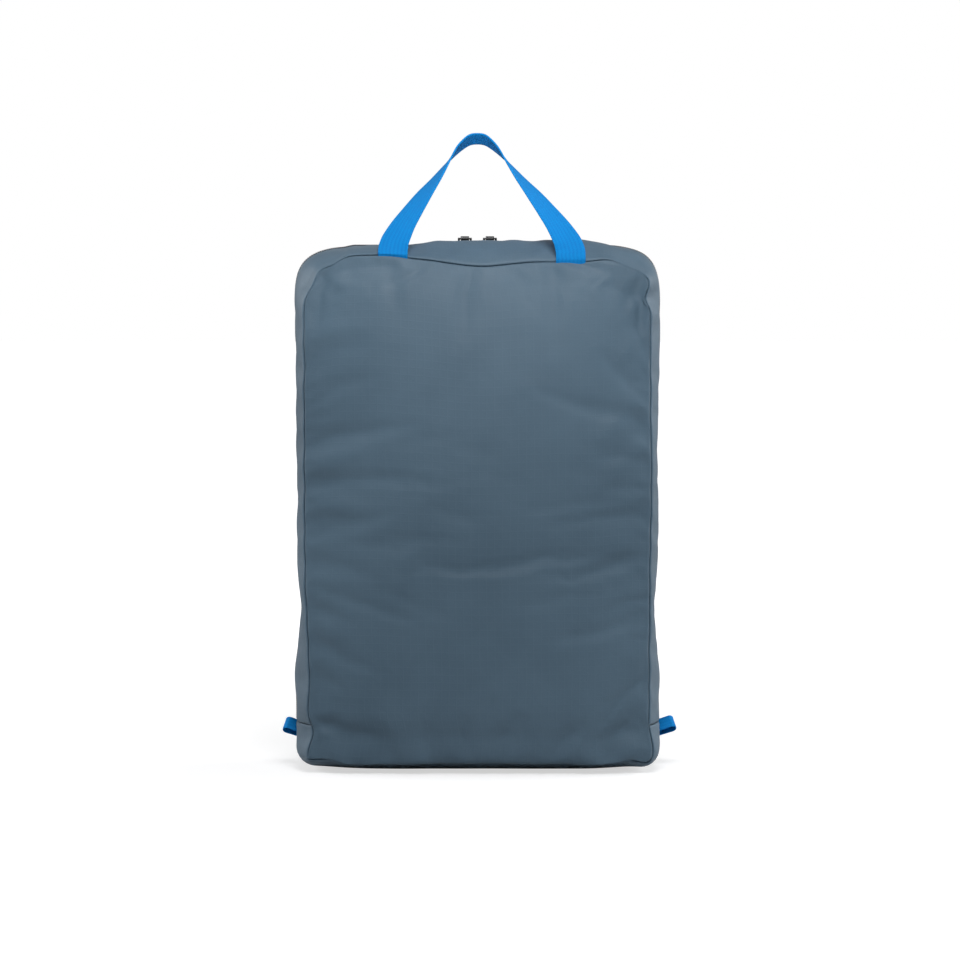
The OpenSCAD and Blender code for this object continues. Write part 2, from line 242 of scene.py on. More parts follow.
def enamel(name, base, bare):
    """Painted metal, rubbed brighter in places, with a fine orange-peel surface."""
    s = Shader(name)
    where = s.place()
    rub = s.ramp(s.noise(where, 420, 5, 0.6), 0.56, 0.74, 0, 0.5)
    colour = s.mix(rub, base, bare)
    normal = s.bump(s.noise(where, 1400, 3), 0.03 * MM, 0.4)
    return s.finish(colour, s.ramp(s.noise(where, 300, 3), 0.3, 0.7, 0.26, 0.42), normal,
                    Metallic=0.55, Coat_Weight=0.4, Coat_Roughness=0.2)


def moulded(name, base, light):
    """Nylon teeth: dark, smooth and slightly waxy."""
    s = Shader(name)
    where = s.place()
    colour = s.mix(s.ramp(s.noise(where, 700, 3), 0.35, 0.7), base, light)
    normal = s.bump(s.noise(where, 2600, 2), 0.02 * MM, 0.4)
    return s.finish(colour, s.ramp(s.noise(where, 160, 3), 0.3, 0.7, 0.3, 0.45), normal, Specular_IOR_Level=0.5)


def thread(name, base, light):
    """Twisted sewing thread."""
    s = Shader(name)
    where = s.place()
    colour = s.mix(s.ramp(s.noise(where, 1900, 3), 0.35, 0.7), base, light)
    return s.finish(colour, s.ramp(s.noise(where, 800, 2), 0.3, 0.7, 0.5, 0.7),
                    s.bump(s.noise(where, 3800, 2), 0.05 * MM, 0.6), Sheen_Weight=0.2)


SLATE = linear(77, 100, 117)
cloth_out = ripstop("ripstop_slate", SLATE, linear(87, 111, 129), linear(67, 89, 106))
# The gusset strips use the panels' ripstop made a little lighter throughout: painted light, as if the strips caught
# more light than the panels.
side_ripstop_painted_lighter = ripstop("ripstop_slate_gusset_painted_lighter", linear(79, 102, 119), linear(90, 114, 132), linear(68, 90, 107))
tape_dark = woven_tape("binding_tape", linear(48, 62, 76), linear(70, 86, 100), 1.1 * MM, 1.4 * MM)
zip_dark = woven_tape("zip_tape_black", linear(20, 21, 23), linear(40, 42, 45), 0.9 * MM, 1.3 * MM)
teeth_dark = moulded("zip_teeth_black", linear(16, 16, 18), linear(34, 35, 38))
web_blue = woven_tape("webbing_blue", linear(6, 116, 192), linear(10, 132, 203), 1.6 * MM, 1.3 * MM,
                      shine=0.7, sheen=0.02, relief=0.02, gloss=0.15)
slider_paint = enamel("slider_enamel", linear(18, 18, 20), linear(62, 62, 66))
seam_thread = thread("seam_thread", linear(62, 82, 98), linear(96, 116, 132))


# ---- mesh helpers
def unit(rows):
    return rows / np.linalg.norm(rows, axis=1)[:, None]


def gone_along(points):
    """The distance gone along a line at each of its points."""
    return np.concatenate([[0], np.cumsum(np.linalg.norm(np.diff(points, axis=0), axis=1))])


def read_line(at, gone, values):
    """A line's values at the distances at."""
    return np.stack([np.interp(at, gone, values[:, c]) for c in range(values.shape[1])], 1)


def build(name, points, faces, corners, material, smooth=True):
    """A mesh object. corners gives a (u, v) in metres for each corner of each face."""
    mesh = bpy.data.meshes.new(name)
    mesh.from_pydata([tuple(map(float, p)) for p in points], [], [tuple(map(int, f)) for f in faces])
    layer = mesh.uv_layers.new(name="cloth")
    layer.data.foreach_set("uv", np.asarray(corners, np.float32).ravel())
    mesh.polygons.foreach_set("use_smooth", [smooth] * len(mesh.polygons))
    mesh.materials.append(material)
    mesh.validate()
    obj = bpy.data.objects.new(name, mesh)
    scene.collection.objects.link(obj)
    return obj


class Sheet:
    """Gathers a grid-like surface: points, faces and flat positions."""

    def __init__(self):
        self.points, self.faces, self.corners = [], [], []

    def add(self, points):
        first = len(self.points)
        self.points.extend(points)
        return first

    def quad(self, a, b, c, d, ua, ub, uc, ud):
        self.faces.append((a, b, c, d))
        self.corners.extend((ua, ub, uc, ud))

    def grid(self, rows, flat, closed=False, flip=False):
        """rows is (count, wide, 3) and flat (count, wide, 2)."""
        rows, flat = np.asarray(rows, float), np.asarray(flat, float)
        count, wide = rows.shape[:2]
        first = self.add(rows.reshape(-1, 3))
        for r in range(count if closed else count - 1):
            s = (r + 1) % count
            for c in range(wide - 1):
                ids = [first + r * wide + c, first + r * wide + c + 1,
                       first + s * wide + c + 1, first + s * wide + c]
                uvs = [flat[r, c], flat[r, c + 1], flat[s, c + 1], flat[s, c]]
                if flip:
                    ids, uvs = ids[::-1], uvs[::-1]
                self.quad(*ids, *uvs)
        return first

    def make(self, name, material):
        return build(name, self.points, self.faces, self.corners, material)


def thicken(obj, thickness, levels=1):
    if levels:
        sub = obj.modifiers.new("smooth", "SUBSURF")
        sub.levels = sub.render_levels = levels
    shell = obj.modifiers.new("thickness", "SOLIDIFY")
    shell.thickness, shell.offset = thickness, -1
    return obj


def step(x):
    x = np.clip(x, 0, 1)
    return x * x * (3 - 2 * x)


def ripple(x, seed, waves, low, high):
    """Smooth uneven waves along x, the same on every run."""
    picks = np.random.default_rng(seed)
    total = np.zeros_like(np.asarray(x, float))
    for _ in range(waves):
        length = picks.uniform(low, high)
        total = total + picks.uniform(0.4, 1) * np.sin(2 * math.pi * (np.asarray(x) / length + picks.uniform()))
    return total / math.sqrt(waves)


# ---- outline of the panels
NX, NZ, NFOOT = 72, 104, 8
RING = 2 * (NX + NZ)


def arc(cx, cz, radius, a, b, count):
    angles = np.radians(np.linspace(a, b, count))
    return np.stack([cx + radius * np.cos(angles), cz + radius * np.sin(angles)], 1)


def even(points, count):
    """The same line with count + 1 points evenly along it."""
    points = np.asarray(points, float)
    gone = gone_along(points)
    return read_line(np.linspace(0, gone[-1], count + 1), gone, points)


def outline(inset=0.0):
    """The panels' outline, anticlockwise from the middle of the lower left corner, seen from the front."""
    wide, low_r, top_r = HALF_W - inset, max(R_LOW - inset, 0.5 * MM), R_TOP - inset
    lx, lz = wide - low_r, SEAM_LOW + inset + low_r
    tx, tz = wide - top_r, SEAM_TOP - inset - top_r
    bottom = even(np.concatenate([arc(-lx, lz, low_r, 225, 270, 9), arc(lx, lz, low_r, 270, 315, 9)]), NX)
    foot = even(np.concatenate([arc(lx, lz, low_r, 315, 360, 9), [[wide, FOLD]]]), NFOOT)
    side = even(np.concatenate([[[wide, FOLD]], arc(tx, tz, top_r, 0, 45, 40)]), NZ - NFOOT)
    right = np.concatenate([foot, side[1:]])
    top = even(np.concatenate([arc(tx, tz, top_r, 45, 90, 40), arc(-tx, tz, top_r, 90, 135, 40)]), NX)
    left = np.stack([-right[::-1, 0], right[::-1, 1]], 1)
    return np.concatenate([bottom[:-1], right[:-1], top[:-1], left[:-1]])


def outward(ring):
    """Outward direction at each point of the outline."""
    x, z = ring[:, 0], ring[:, 1]
    tx, tz = HALF_W - R_TOP, SEAM_TOP - R_TOP
    lx, lz = HALF_W - R_LOW, SEAM_LOW + R_LOW
    dx = np.where(z > tz, np.sign(x) * np.maximum(np.abs(x) - tx, 0),
                  np.where(z < lz, np.sign(x) * np.maximum(np.abs(x) - lx, 0), np.sign(x)))
    dz = np.where(z > tz, z - tz, np.where(z < lz, z - lz, 0))
    both = np.stack([dx, dz], 1)
    return unit(both)


def crest(y):
    slope = max(0.0, abs(y) - FLAT) / (HALF_D - FLAT)
    return CREST * (1 - slope ** 2)


def panel_half_w(z):
    up, down = z - (SEAM_TOP - R_TOP), SEAM_LOW + R_LOW - z
    return np.where(up > 0, HALF_W - R_TOP + np.sqrt(np.maximum(0, R_TOP ** 2 - up ** 2)),
                    np.where(down > 0, HALF_W - R_LOW + np.sqrt(np.maximum(0, R_LOW ** 2 - down ** 2)), HALF_W))


def panel_bow(x, z):
    """Bow of the stuffed panel: fullest a little below its middle."""
    tall = np.clip((z - SEAM_LOW) / (SEAM_TOP - SEAM_LOW), 0, 1) ** 0.86
    share = np.clip(np.abs(x) / np.maximum(panel_half_w(z), 1e-6), 0, 1)
    return BOW * (1 - share ** 2.6) * (1 - np.abs(2 * tall - 1) ** 4)


ring_xz = outline()
ring_out = outward(ring_xz)
ring_step = np.linalg.norm(np.roll(ring_xz, -1, 0) - ring_xz, axis=1)
ring_s = np.concatenate([[0], np.cumsum(ring_step)[:-1]])
RING_LENGTH = ring_step.sum()


def ring_cell(k):
    """(column, row) in a panel's grid of a point of the outline."""
    k %= RING
    if k < NX:
        return k, 0
    if k < NX + NZ:
        return NX, k - NX
    if k < 2 * NX + NZ:
        return NX - (k - NX - NZ), NZ
    return 0, NZ - (k - 2 * NX - NZ)


# Where the sewn seams wander: (x, z, push outward, reach), all in mm
FRONT_BENDS = [
    (3, 352, -6.8, 40), (68, 352, -3.6, 26), (-66, 352, 0.8, 30), (-98, 347, -3.2, 9), (-110, 332, -3.6, 9),
    (100, 348, -2.2, 10), (116, 336, 3.8, 8), (117, 323, -3.8, 6), (-117, 70, -2.6, 42), (-117, 28, -4.0, 9),
    (119, 14, 3.2, 13), (117, 200, 1.0, 40), (0, 7, -1.8, 90), (-104, 7, -2.0, 14), (104, 7, -2.0, 14),
]
BACK_BENDS = [(10, 352, -4.5, 50), (-108, 343, 3.0, 12), (112, 335, -2.6, 9), (117, 90, -2.4, 36),
              (-117, 120, -1.8, 40), (0, 7, -1.8, 90)]


# Where the zip's line wanders on the sides, away from the sliders: (x, z, push outward, reach), in mm
ZIP_BENDS = [
    (-118, 112, -3.6, 30), (-118, 190, -1.6, 45), (-118, 270, -0.8, 40), (118, 112, -3.6, 34), (118, 215, -2.2, 50),
    (109, 342, 5.6, 14), (-110, 340, 5.0, 14), (-88, 358, -1.8, 9), (-118, 66, 1.2, 14), (118, 66, 1.0, 16),
]


def zip_wander(x, z):
    push = np.zeros(np.shape(x))
    for at_x, at_z, amount, reach in ZIP_BENDS:
        gap = np.hypot(x - at_x * MM, z - at_z * MM) / (reach * MM)
        push = push + amount * MM * np.exp(-gap ** 2)
    clear = np.where(z > 351 * MM, step((np.abs(x) - 84 * MM) / (8 * MM)), 1.0)
    return push * step((z - 36 * MM) / (20 * MM)) * clear


def wander(bends, seed):
    push = np.zeros(RING)
    for x, z, amount, reach in bends:
        gap = np.hypot(ring_xz[:, 0] - x * MM, ring_xz[:, 1] - z * MM) / (reach * MM)
        push += amount * MM * np.exp(-gap ** 2)
    push += 0.35 * MM * ripple(ring_s, seed, 5, 0.022, 0.07)
    return ring_out * push[:, None]


def coons(ring):
    """Fills the outline with a grid of (column, row) points."""
    bottom = ring[:NX + 1]
    right = ring[NX:NX + NZ + 1]
    top = ring[NX + NZ:2 * NX + NZ + 1][::-1]
    left = np.concatenate([ring[2 * NX + NZ:], ring[:1]])[::-1]
    foot = np.linspace(0, 1, NX + 1)[:, None, None]
    rise = gone_along(right)
    rise = (rise / rise[-1])[None, :, None]
    sides = (1 - rise) * bottom[:, None] + rise * top[:, None] + (1 - foot) * left[None] + foot * right[None]
    corner = ((1 - foot) * (1 - rise) * bottom[0] + foot * (1 - rise) * bottom[-1]
              + (1 - foot) * rise * top[0] + foot * rise * top[-1])
    return sides - corner


# ---- the whole bag as one closed cloth
DEPTHS = np.concatenate([np.linspace(-HALF_D, -WINDOW, 11), np.linspace(-WINDOW, WINDOW, 5)[1:],
                         np.linspace(WINDOW, HALF_D, 11)[1:]])
ROWS = len(DEPTHS)
PANEL = (NX + 1) * (NZ + 1)


def puff():
    """How far the front strip stands proud of the zip along the top, where it is slack."""
    x = ring_xz[:, 0] / MM
    top = step((ring_xz[:, 1] - 330 * MM) / (15 * MM))
    middle = step((x + 58) / 46) * step((98 - x) / 26)
    corners = step((-72 - x) / 18) + step((x - 98) / 12)
    gathers = 0.9 * MM * ripple(ring_s, 21, 9, 0.016, 0.05)
    return top * ((5.2 * middle - 1.2 * corners) * MM + middle * gathers)


def base_lift():
    """The empty corners of the base stand a little clear of the ground."""
    away = np.clip((np.abs(ring_xz[:, 0]) / MM - 52) / 66, 0, 1)
    return 3 * MM * away ** 2 * step((24 * MM - ring_xz[:, 1]) / (17 * MM))


def bag_points():
    front = ring_xz + wander(FRONT_BENDS, 3)
    back = ring_xz + wander(BACK_BENDS, 5)
    grids = []
    for ring, facing in ((front, -1), (back, 1)):
        flat, plain = coons(ring), coons(ring_xz)
        deep = facing * (HALF_D + panel_bow(plain[..., 0], plain[..., 1]))
        grids.append(np.stack([flat[..., 0], deep, flat[..., 1]], -1))
    rows = []
    for y in DEPTHS[1:-1]:
        share = step((abs(y) - WINDOW) / (HALF_D - WINDOW)) ** 1.3
        bend = (front if y < 0 else back) - ring_xz
        high = crest(y) + zip_wander(ring_xz[:, 0], ring_xz[:, 1]) * (1 - share)
        line = ring_xz + ring_out * high[:, None] + bend * share
        if y < -WINDOW:
            arch = math.sin(math.pi * (abs(y) - WINDOW) / (HALF_D - WINDOW)) ** 0.8
            line = line + ring_out * puff()[:, None] * arch
        line[:, 1] += base_lift() * (1 - share)
        rows.append(np.stack([line[:, 0], np.full(RING, y), line[:, 1]], 1))
    return grids[0], grids[1], np.array(rows)


def panel_id(i, j, facing):
    return (0 if facing < 0 else PANEL) + i * (NZ + 1) + j


def ring_id(row, k):
    """Vertex of the gusset at one of DEPTHS, where the first and last are the panels' own edges."""
    if row in (0, ROWS - 1):
        i, j = ring_cell(k)
        return panel_id(i, j, -1 if row == 0 else 1)
    return 2 * PANEL + (row - 1) * RING + k % RING


def sewn_bag():
    front, back, rows = bag_points()
    points = np.concatenate([front.reshape(-1, 3), back.reshape(-1, 3), rows.reshape(-1, 3)])
    faces = []
    for facing in (-1, 1):
        for i in range(NX):
            for j in range(NZ):
                quad = [panel_id(i, j, facing), panel_id(i + 1, j, facing),
                        panel_id(i + 1, j + 1, facing), panel_id(i, j + 1, facing)]
                faces.append(quad if facing < 0 else quad[::-1])
    for row in range(ROWS - 1):
        for k in range(RING):
            faces.append([ring_id(row, k), ring_id(row + 1, k), ring_id(row + 1, k + 1), ring_id(row, k + 1)])
    return points, faces


def fill_bag(points, faces):
    """Blender's cloth: the sewn bag, cut a little large, pushed out from inside while its seams hold."""
    bag = build("bag", points, faces, np.zeros((sum(map(len, faces)), 2)), cloth_out)
    pin = bag.vertex_groups.new(name="pin")
    tight = bag.vertex_groups.new(name="tight")
    for k in range(RING):
        z = ring_xz[k, 1]
        for row in range(ROWS):
            y, v = DEPTHS[row], ring_id(row, k)
            sewn = row in (0, ROWS - 1) or abs(y) < WINDOW + 0.1 * MM
            rests = z < SEAM_LOW + 0.1 * MM and abs(y) < 30 * MM
            tight.add([v], 1.0 if sewn else 0.6, "REPLACE")
            if sewn or rests:
                pin.add([v], 1.0, "REPLACE")
    cloth = bag.modifiers.new("cloth", "CLOTH")
    s = cloth.settings
    s.quality, s.mass, s.air_damping = 5, 0.25, 3.0
    s.tension_stiffness = s.compression_stiffness = 30
    s.shear_stiffness, s.bending_stiffness = 12, 0.25
    s.tension_damping = s.compression_damping = s.shear_damping = 8
    s.bending_damping = 0.5
    s.vertex_group_mass, s.pin_stiffness = "pin", 1.0
    s.vertex_group_shrink, s.shrink_min, s.shrink_max = "tight", -0.018, 0.0
    s.use_pressure, s.uniform_pressure_force = True, 3.0
    s.effector_weights.gravity = 0
    cloth.collision_settings.use_collision = False
    cloth.point_cache.frame_start, cloth.point_cache.frame_end = 1, SIM_FRAMES
    for at in range(1, SIM_FRAMES + 1):
        scene.frame_set(at)
    done = bag.evaluated_get(bpy.context.evaluated_depsgraph_get()).to_mesh()
    moved = np.zeros(len(points) * 3)
    done.vertices.foreach_get("co", moved)
    scene.frame_set(1)
    bpy.data.objects.remove(bag)
    return moved.reshape(-1, 3)


def neighbour_mean(values, edges, times):
    """Averages each point with its neighbours, several times."""
    degree = np.zeros(len(values))
    np.add.at(degree, edges[:, 0], 1)
    np.add.at(degree, edges[:, 1], 1)
    for _ in range(times):
        total = np.zeros_like(values)
        np.add.at(total, edges[:, 0], values[edges[:, 1]])
        np.add.at(total, edges[:, 1], values[edges[:, 0]])
        values = 0.4 * values + 0.6 * total / degree[:, None]
    return values


SIM_FRAMES = 30
SMOOTHING = 60
BROAD_SHARE, FINE_SHARE = 0.3, 0.75
PULL_ROOM = 0.2 * MM
start_points, bag_faces = sewn_bag()
bag_now = start_points.copy()
filled = fill_bag(start_points, bag_faces)
quads = np.array(bag_faces)
pairs = np.unique(np.sort(np.concatenate([quads[:, [a, (a + 1) % 4]] for a in range(4)]), axis=1), axis=0)
shift = filled - start_points
broad = neighbour_mean(shift, pairs, SMOOTHING)
bag_now = start_points + BROAD_SHARE * broad + FINE_SHARE * (shift - broad)
bag_now[:, 2] = np.maximum(bag_now[:, 2], 0.0)
for row, y in enumerate(DEPTHS):
    if y > WINDOW:  # the pulls lie on the back strip's crest
        for k in range(RING):
            v = ring_id(row, k)
            if ring_xz[k, 1] > 340 * MM:
                bag_now[v, 2] = min(bag_now[v, 2], start_points[v, 2] + PULL_ROOM)


def grid_of(facing):
    first = 0 if facing < 0 else PANEL
    return bag_now[first:first + PANEL].reshape(NX + 1, NZ + 1, 3).copy()


def depth_rows():
    """The gusset's points as (depth, place along the outline)."""
    rows = [[bag_now[ring_id(row, k)] for k in range(RING)] for row in range(ROWS)]
    return np.array(rows)


# Folds in the filled cloth: from, to, height of the ridge, width, all in mm. A minus sign makes a valley.
FRONT_FOLDS = [
    ((-117, 209), (-58, 226), 1.5, 9), ((-117, 186), (-66, 178), 1.1, 8), ((-117, 250), (-78, 262), 0.8, 8),
    ((117, 262), (72, 214), 1.5, 10), ((117, 224), (78, 196), 1.1, 8), ((117, 150), (84, 158), 0.8, 8),
    ((50, 350), (52, 290), -1.4, 7), ((-60, 350), (-54, 306), -0.9, 7), ((4, 347), (2, 316), 0.8, 12),
    ((111, 335), (109, 286), -2.4, 3.6), ((105, 340), (97, 326), 1.3, 3.2), ((110, 331), (96, 312), -1.2, 3.2),
    ((112, 300), (92, 276), 1.1, 5), ((-108, 340), (-92, 322), -1.4, 4.5), ((-96, 349), (-88, 330), 1.0, 4),
    ((-72, 8), (-64, 26), -1.1, 6), ((-40, 8), (-34, 22), 0.9, 6), ((36, 8), (30, 24), -0.8, 7),
    ((84, 8), (74, 26), 1.0, 7),
    ((-115, 30), (-88, 40), -1.2, 5), ((115, 26), (90, 34), -1.0, 6), ((-116, 100), (-84, 92), 0.9, 8),
]
BACK_FOLDS = [
    ((-117, 230), (-62, 214), 1.3, 9), ((117, 196), (60, 214), 1.4, 9), ((20, 350), (14, 300), -1.2, 8),
    ((108, 338), (92, 318), -1.4, 4.5), ((-108, 338), (-96, 322), 1.2, 4.5), ((60, 8), (52, 28), -1.0, 7),
    ((-50, 8), (-44, 24), 0.9, 6),
]


def fold(grid, folds, facing):
    """Presses soft folds into a panel: each is a ridge that dies out, with a shallow valley beside it."""
    x, z = grid[..., 0], grid[..., 2]
    for (ax, az), (bx, bz), height, width in folds:
        run = np.array([bx - ax, bz - az]) * MM
        length = np.linalg.norm(run)
        run = run / length
        along = ((x - ax * MM) * run[0] + (z - az * MM) * run[1]) / length
        off = ((x - ax * MM) * -run[1] + (z - az * MM) * run[0]) / (width * MM)
        off = off * (1 + 0.25 * along)
        fade = step((along + 0.12) / 0.3) * step((1.15 - along) / 0.75)
        shape = np.exp(-off ** 2) - 0.55 * np.exp(-((off - 1.5) / 0.9) ** 2)
        grid[..., 1] += facing * height * MM * shape * fade
    return grid


def overhang(grid, facing):
    """The filled panel hangs over its lower seam and hides it, except near the corners."""
    rim = grid[:, :1, 2]
    above = np.clip((grid[..., 2] - rim) / (17 * MM), 0, 1)
    spread = step((114 * MM - np.abs(grid[..., 0] - 4 * MM)) / (24 * MM))
    swell = np.sin(math.pi * above ** 0.7) * spread
    grid[..., 2] = np.maximum(grid[..., 2] - 6.0 * MM * swell, np.minimum(grid[..., 2], 0.6 * MM))
    grid[..., 1] += facing * 1.6 * MM * swell
    return grid


def top_seam(x):
    """Height of the front seam along the top."""
    line = (ring_xz + wander(FRONT_BENDS, 3))[NX + NZ:2 * NX + NZ + 1][::-1]
    return np.interp(x, line[:, 0], line[:, 1])


def turn_in(k, facing, depth):
    """Steps from a seam into the bag, half way between the panel and the gusset."""
    way = np.array([-ring_out[k][0] * 0.7, -facing * 0.714, -ring_out[k][1] * 0.7])
    return way * depth


TURNS = (0.9 * MM, 2.7 * MM)
EDGE_GAP = 0.65 * MM


def panel_cloth(name, facing, folds):
    grid = overhang(fold(grid_of(facing), folds, facing), facing)
    plain = coons(ring_xz)
    cell = [ring_cell(k) for k in range(RING)]
    rim = np.array([grid[i, j] for i, j in cell])
    inner = np.array([grid[min(max(i, 1), NX - 1), min(max(j, 1), NZ - 1)] for i, j in cell])
    back = unit(inner - rim) * EDGE_GAP
    for k, (i, j) in enumerate(cell):
        grid[i, j] += back[k]
    sheet = Sheet()
    first = sheet.add(grid.reshape(-1, 3))
    flat = plain.reshape(-1, 2)
    order = 1 if facing < 0 else -1
    for i in range(NX):
        for j in range(NZ):
            near, far = i * (NZ + 1) + j, (i + 1) * (NZ + 1) + j
            ids = [near, far, far + 1, near + 1][::order]
            sheet.quad(*[first + v for v in ids], *[flat[v] for v in ids])
    last = [first + i * (NZ + 1) + j for i, j in cell]
    last_flat = [plain[i, j] for i, j in cell]
    for depth in TURNS:
        points = [rim[k] + back[k] + turn_in(k, facing, depth) for k in range(RING)]
        row_flat = [plain[cell[k]] + ring_out[k] * depth for k in range(RING)]
        start = sheet.add(points)
        row = [start + k for k in range(RING)]
        for k in range(RING):
            n = (k + 1) % RING
            ids = [last[n], last[k], row[k], row[n]]
            uvs = [last_flat[n], last_flat[k], row_flat[k], row_flat[n]]
            sheet.quad(*ids[::order], *uvs[::order])
        last, last_flat = row, row_flat
    return thicken(sheet.make(name, cloth_out), PANEL_CLOTH)


def seam_edge(line, beside, ks, facing):
    """The edge of a gusset strip at a panel's seam, drawn back and turned in: outermost last."""
    edge = line + unit(beside - line) * EDGE_GAP
    turned = [edge + np.array([turn_in(k % RING, facing, depth) for k in ks]) for depth in TURNS]
    return [edge] + turned


def ring_flat(ks, y):
    s = np.array([ring_s[k % RING] + RING_LENGTH * (k // RING) for k in ks])
    return np.stack([np.full(len(ks), y), s], 1)


def gusset_cloth(name, kind):
    """kind is front, back or base: one strip of the gusset, with its edges turned in or hemmed."""
    rows = depth_rows()
    middle = next(r for r, y in enumerate(DEPTHS) if abs(y + WINDOW) < 1e-6), next(
        r for r, y in enumerate(DEPTHS) if abs(y - WINDOW) < 1e-6)
    ks = np.arange(-NFOOT, NX + NFOOT + 1) if kind == "base" else np.arange(NX + NFOOT, RING - NFOOT + 1)
    out3 = np.array([[ring_out[k % RING][0], 0, ring_out[k % RING][1]] for k in ks])
    lines, depths = [], []
    span = {"front": (0, middle[0]), "back": (middle[1], ROWS - 1), "base": (0, ROWS - 1)}[kind]
    for r in range(span[0], span[1] + 1):
        lines.append(rows[r][ks % RING])
        depths.append(DEPTHS[r])

    def hem(line, way):
        """The folded edge beside the zip. way is the direction in depth from the edge into the cloth."""
        steps = ((0.22, -0.2), (0.62, -0.05), (0.86, 0.6), (0.88, 3.0))
        return [line - out3 * down * MM + np.array([0, way * over * MM, 0]) for down, over in steps]

    if kind in ("front", "base"):
        edge = seam_edge(lines[0], lines[1], ks, -1)
        lines = edge[::-1] + lines[1:]
        depths = [-HALF_D - d for d in TURNS[::-1]] + depths
    if kind in ("back", "base"):
        edge = seam_edge(lines[-1], lines[-2], ks, 1)
        lines = lines[:-1] + edge
        depths = depths + [HALF_D + d for d in TURNS]
    if kind == "front":
        lines, depths = lines + hem(lines[-1], -1), depths + [-6 * MM, -5.4 * MM, -4.8 * MM, -2.4 * MM]
    if kind == "back":
        lines, depths = hem(lines[0], 1)[::-1] + lines, [2.4 * MM, 4.8 * MM, 5.4 * MM, 6 * MM] + depths
    block = np.array(lines).transpose(1, 0, 2)
    flat = np.stack([ring_flat(ks, y) for y in depths], 1)
    drop = -1 if kind == "base" else 1
    for end in (0, -1):
        block[end, :, 2] += drop * 0.17 * MM
        extra = block[end] - out3[end] * 1.6 * MM
        extra[:, 2] += drop * 0.05 * MM
        more = flat[end].copy()
        more[:, 1] += 1.6 * MM * (-1 if end == 0 else 1)
        if end == 0:
            block, flat = np.concatenate([extra[None], block]), np.concatenate([more[None], flat])
        else:
            block, flat = np.concatenate([block, extra[None]]), np.concatenate([flat, more[None]])
    sheet = Sheet()
    # The strips take the lighter copy of the ripstop: painted light.
    sheet.grid(block, flat)
    return thicken(sheet.make(name, side_ripstop_painted_lighter), STRIP_CLOTH), rows


# ---- path of the zip, exact as in the CAD
SIDE_RUN = SEAM_TOP - R_TOP - FOLD
TOP_RUN = 2 * (HALF_W - R_TOP)


def zip_path(offset, pitch):
    """Points, outward directions and run directions at an even pitch along the zip, from its right end."""
    bend = (R_TOP + offset) * math.pi / 2
    total = 2 * SIDE_RUN + 2 * bend + TOP_RUN
    count = int(round(total / pitch))
    at = (np.arange(count) + 0.5) * total / count
    tx, tz = HALF_W - R_TOP, SEAM_TOP - R_TOP
    spots, outs, runs = [], [], []
    for s in at:
        mirror = 1
        if s > total / 2:
            s, mirror = total - s, -1
        if s < SIDE_RUN:
            spot, turn = (HALF_W, FOLD + s), 0
        elif s < SIDE_RUN + bend:
            turn = (s - SIDE_RUN) / (R_TOP + offset)
            spot = (tx + R_TOP * math.cos(turn), tz + R_TOP * math.sin(turn))
        else:
            turn = math.pi / 2
            spot = (tx - (s - SIDE_RUN - bend), SEAM_TOP)
        out = np.array([mirror * math.cos(turn), 0, math.sin(turn)])
        drift = float(zip_wander(mirror * spot[0], spot[1]))
        spots.append(np.array([mirror * spot[0], 0, spot[1]]) + out * (offset + drift))
        outs.append(out)
        runs.append(np.array([-out[2], 0, out[0]]))
    return np.array(spots), np.array(outs), np.array(runs), at


def zip_tape(name, facing):
    spots, outs, runs, at = zip_path(5.9 * MM, 2.6 * MM)
    # the tape's far edge hangs clear below the strip that covers it
    edges = [(0.85, 0), (0.95, 0.16), (3.5, 0.16), (6, 0.1), (9, -0.5), (12, -1.5), (13.9, -2.2), (14.0, -2.35),
             (13.9, -2.5), (12, -1.84), (9, -0.86), (6, -0.26), (3.5, -0.22), (0.95, -0.22), (0.85, -0.1)]
    lines, flat = [], []
    for spot, out, s in zip(spots, outs, at):
        lines.append([spot + out * (up * MM) + np.array([0, facing * y * MM, 0]) for y, up in edges])
        flat.append([(y * MM, s) for y, up in edges])
    sheet = Sheet()
    block, flat = np.array(lines), np.array(flat)
    block = np.concatenate([block, block[:, :1]], 1)
    flat = np.concatenate([flat, flat[:, :1]], 1)
    sheet.grid(block, flat, flip=facing < 0)
    obj = sheet.make(name, zip_dark)
    return close_ends(obj)


def face_out(obj, join=False):
    """Turns every face outward. join first closes the mesh along its own seam and caps its open ends."""
    b = bmesh.new()
    b.from_mesh(obj.data)
    if join:
        bmesh.ops.remove_doubles(b, verts=b.verts, dist=1e-7)
        open_edges = [e for e in b.edges if e.is_boundary]
        if open_edges:
            bmesh.ops.holes_fill(b, edges=open_edges, sides=0)
    bmesh.ops.recalc_face_normals(b, faces=b.faces)
    b.to_mesh(obj.data)
    b.free()
    return obj


def close_ends(obj):
    face_out(obj, join=True)
    obj.data.polygons.foreach_set("use_smooth", [True] * len(obj.data.polygons))
    return obj


def loft(sections):
    """Points and faces of many separate little solids. sections is (solid, ring, corner, 3)."""
    sections = np.asarray(sections, float)
    solids, rings, corners = sections.shape[:3]
    points = sections.reshape(-1, 3)
    one = []
    for r in range(rings - 1):
        for c in range(corners):
            d = (c + 1) % corners
            one.append((r * corners + c, r * corners + d, (r + 1) * corners + d, (r + 1) * corners + c))
    caps = [tuple(range(corners))[::-1], tuple((rings - 1) * corners + c for c in range(corners))]
    faces = []
    for k in range(solids):
        first = k * rings * corners
        faces.extend(tuple(first + v for v in f) for f in one + caps)
    return points, faces


def solids(name, sections, material):
    points, faces = loft(sections)
    corners = []
    for f in faces:
        corners.extend((points[v][0], points[v][2]) for v in f)
    return face_out(build(name, points, faces, corners, material))


